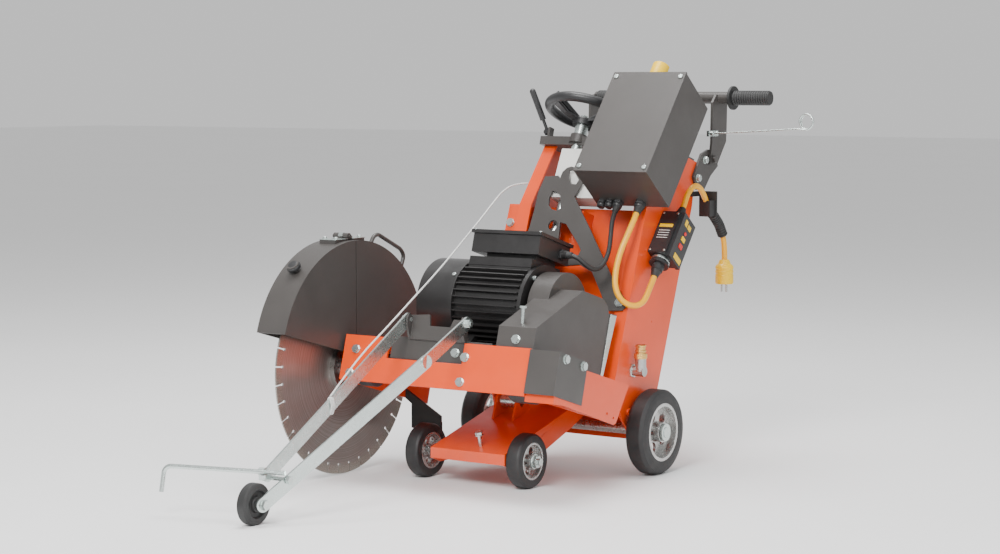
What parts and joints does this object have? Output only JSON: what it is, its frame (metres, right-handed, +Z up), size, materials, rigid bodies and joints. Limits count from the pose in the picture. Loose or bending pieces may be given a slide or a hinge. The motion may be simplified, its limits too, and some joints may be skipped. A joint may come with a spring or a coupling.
{
  "type": "walk-behind concrete saw",
  "caption": "Walk-behind electric concrete saw: orange deck and column, guarded diamond blade, finned motor, belt guard, control box, lifting handwheel, fold-up pointer and handlebar.",
  "frame": {"origin": "on the floor at the centre of the footprint of the whole saw", "axes": "+Z up, -Y the direction of travel, -X the blade side, +Y the operator"},
  "size_m": [0.9066, 1.429, 0.966],
  "materials": {
    "orange_paint": "satin powder coat",
    "grey_paint": "satin powder coat, fine texture",
    "motor_black": "satin enamel",
    "fan_cowl_black": "satin enamel",
    "zinc": "bright zinc plate",
    "machined_steel": "machined",
    "blade_steel": "ground, circular marks",
    "tyre_rubber": "matte",
    "cast_alloy": "machined casting",
    "black_rubber": "matte",
    "black_plastic": "matte moulded",
    "yellow_cord": "satin jacket",
    "yellow_plastic": "moulded",
    "red_plastic": "moulded",
    "green_plastic": "moulded",
    "brass": "turned",
    "offwhite_plastic": "moulded",
    "pulley_iron": "cast, machined grooves",
    "rope": "twisted polyester"
  },
  "bodies": {
    "chassis": {"deck_frame": "orange_paint", "column_frame": "orange_paint", "console_plate": "grey_paint", "lifting_bracket": "grey_paint", "motor_plate": "grey_paint", "guard_rear": "grey_paint", "belt_guard": "grey_paint", "belt_cover_lower": "grey_paint", "control_box": "grey_paint", "control_box_lid": "grey_paint", "handlebar_mounts": "grey_paint", "splash_flap": "black_rubber", "rear_axle": "zinc", "frame_bolts": "zinc", "spindle_housing": "offwhite_plastic", "motor_stator": "motor_black", "motor_fan_cowl": "fan_cowl_black", "terminal_box": "motor_black", "drive_belt": "black_rubber", "bearing_housings": "pulley_iron", "cable_glands": "black_plastic", "stop_shroud": "yellow_plastic", "rcd_unit": "black_plastic", "water_inlet": "brass", "power_cord_inner": "yellow_cord", "power_cord_outer": "yellow_cord", "cord_holder": "black_rubber", "motor_cable": "black_rubber", "power_plug": "yellow_plastic", "pointer_rope": "rope"},
    "carriage": {"front_carriage": "orange_paint", "front_axle": "zinc"},
    "front_wheel_left": {"tyre_front_left": "tyre_rubber", "rim_front_left": "cast_alloy"},
    "front_wheel_right": {"tyre_front_right": "tyre_rubber", "rim_front_right": "cast_alloy"},
    "rear_wheel_left": {"tyre_rear_left": "tyre_rubber", "rim_rear_left": "cast_alloy"},
    "rear_wheel_right": {"tyre_rear_right": "tyre_rubber", "rim_rear_right": "cast_alloy"},
    "lifting_screw": {"spindle_screw": "zinc", "handwheel": "black_plastic"},
    "lifting_link": {"lift_link": "zinc"},
    "locking_lever": {"lock_lever": "black_plastic"},
    "rotor": {"motor_rotor": "machined_steel", "motor_pulley": "pulley_iron"},
    "blade_assembly": {"blade": "blade_steel", "blade_shaft": "machined_steel", "blade_pulley": "pulley_iron"},
    "front_guard": {"guard_front": "grey_paint"},
    "pointer": {"pointer_arms": "zinc"},
    "pointer_caster": {"pointer_wheel": "black_rubber"},
    "sighting_rod": {"pointer_rod": "zinc"},
    "handlebar": {"handlebar": "grey_paint", "handlebar_grips": "black_rubber", "cord_guide": "zinc"},
    "stop": {"stop_button": "red_plastic"},
    "start": {"start_button": "green_plastic"},
    "rcd_test": {"rcd_test_button": "yellow_plastic"},
    "rcd_reset": {"rcd_reset_button": "red_plastic"}
  },
  "joints": [
    {"name": "rear_wheel_left_spin", "type": "hinge", "parent": "chassis", "child": "rear_wheel_left", "pos_m": [0.1943, 0.3265, 0.1], "axis": [1, 0, 0], "continuous": true},
    {"name": "rear_wheel_right_spin", "type": "hinge", "parent": "chassis", "child": "rear_wheel_right", "pos_m": [-0.2717, 0.3265, 0.1], "axis": [1, 0, 0], "continuous": true},
    {"name": "carriage_swing", "type": "hinge", "parent": "chassis", "child": "carriage", "pos_m": [-0.0737, 0.2665, 0.15], "axis": [-1, 0, 0], "range_deg": [0, 27]},
    {"name": "front_wheel_left_spin", "type": "hinge", "parent": "carriage", "child": "front_wheel_left", "pos_m": [0.0483, 0.0015, 0.0625], "axis": [1, 0, 0], "continuous": true},
    {"name": "front_wheel_right_spin", "type": "hinge", "parent": "carriage", "child": "front_wheel_right", "pos_m": [-0.2317, 0.0015, 0.0625], "axis": [1, 0, 0], "continuous": true},
    {"name": "handwheel_turn", "type": "hinge", "parent": "chassis", "child": "lifting_screw", "pos_m": [-0.0987, 0.46654, 0.797], "axis": [0, 0.4384, 0.8988], "range_deg": [-2268, 0]},
    {"name": "link_slide", "type": "slide", "parent": "chassis", "child": "lifting_link", "axis": [0, 0.4384, 0.8988], "range_m": [0, 0.0504]},
    {"name": "locking_lever_swing", "type": "hinge", "parent": "chassis", "child": "locking_lever", "pos_m": [-0.1917, 0.46095, 0.79382], "axis": [1, 0, 0], "range_deg": [0, 40]},
    {"name": "rotor_spin", "type": "hinge", "parent": "chassis", "child": "rotor", "pos_m": [-0.0737, 0.11003, 0.39718], "axis": [1, 0, 0], "continuous": true},
    {"name": "blade_spin", "type": "hinge", "parent": "chassis", "child": "blade_assembly", "pos_m": [-0.4097, -0.0796, 0.25213], "axis": [1, 0, 0], "continuous": true},
    {"name": "front_guard_flip", "type": "hinge", "parent": "chassis", "child": "front_guard", "pos_m": [-0.4127, -0.0796, 0.55913], "axis": [-1, 0, 0], "range_deg": [0, 100]},
    {"name": "pointer_flip", "type": "hinge", "parent": "chassis", "child": "pointer", "pos_m": [-0.1037, -0.1235, 0.381], "axis": [-1, 0, 0], "range_deg": [0, 100], "deforming": ["pointer_rope"]},
    {"name": "pointer_wheel_spin", "type": "hinge", "parent": "pointer", "child": "pointer_caster", "pos_m": [-0.1882, -0.6705, 0.044], "axis": [1, 0, 0], "continuous": true},
    {"name": "sighting_rod_slide", "type": "slide", "parent": "pointer", "child": "sighting_rod", "axis": [-0.9615, -0.2747, 0.0054], "range_m": [-0.04, 0.04]},
    {"name": "handlebar_tilt", "type": "hinge", "parent": "chassis", "child": "handlebar", "pos_m": [-0.0197, 0.6445, 0.728], "axis": [1, 0, 0], "range_deg": [-35, 12]},
    {"name": "stop_press", "type": "slide", "parent": "chassis", "child": "stop", "axis": [0, -0.628, -0.7782], "range_m": [0, 0.006], "stiffness_N_per_m": 600, "springref_m": -0.002},
    {"name": "start_press", "type": "slide", "parent": "chassis", "child": "start", "axis": [0, -0.628, -0.7782], "range_m": [0, 0.003], "stiffness_N_per_m": 600, "springref_m": -0.002},
    {"name": "rcd_test_press", "type": "slide", "parent": "chassis", "child": "rcd_test", "axis": [-1, 0, 0], "range_m": [0, 0.0015], "stiffness_N_per_m": 500, "springref_m": -0.001},
    {"name": "rcd_reset_press", "type": "slide", "parent": "chassis", "child": "rcd_reset", "axis": [-1, 0, 0], "range_m": [0, 0.0015], "stiffness_N_per_m": 500, "springref_m": -0.001}
  ],
  "couplings": [
    {"joint": "handwheel_turn", "follows": "carriage_swing", "ratio": -84},
    {"joint": "link_slide", "follows": "carriage_swing", "m_per_rad": 0.10695},
    {"joint": "blade_spin", "follows": "rotor_spin", "ratio": 0.78481}
  ]
}
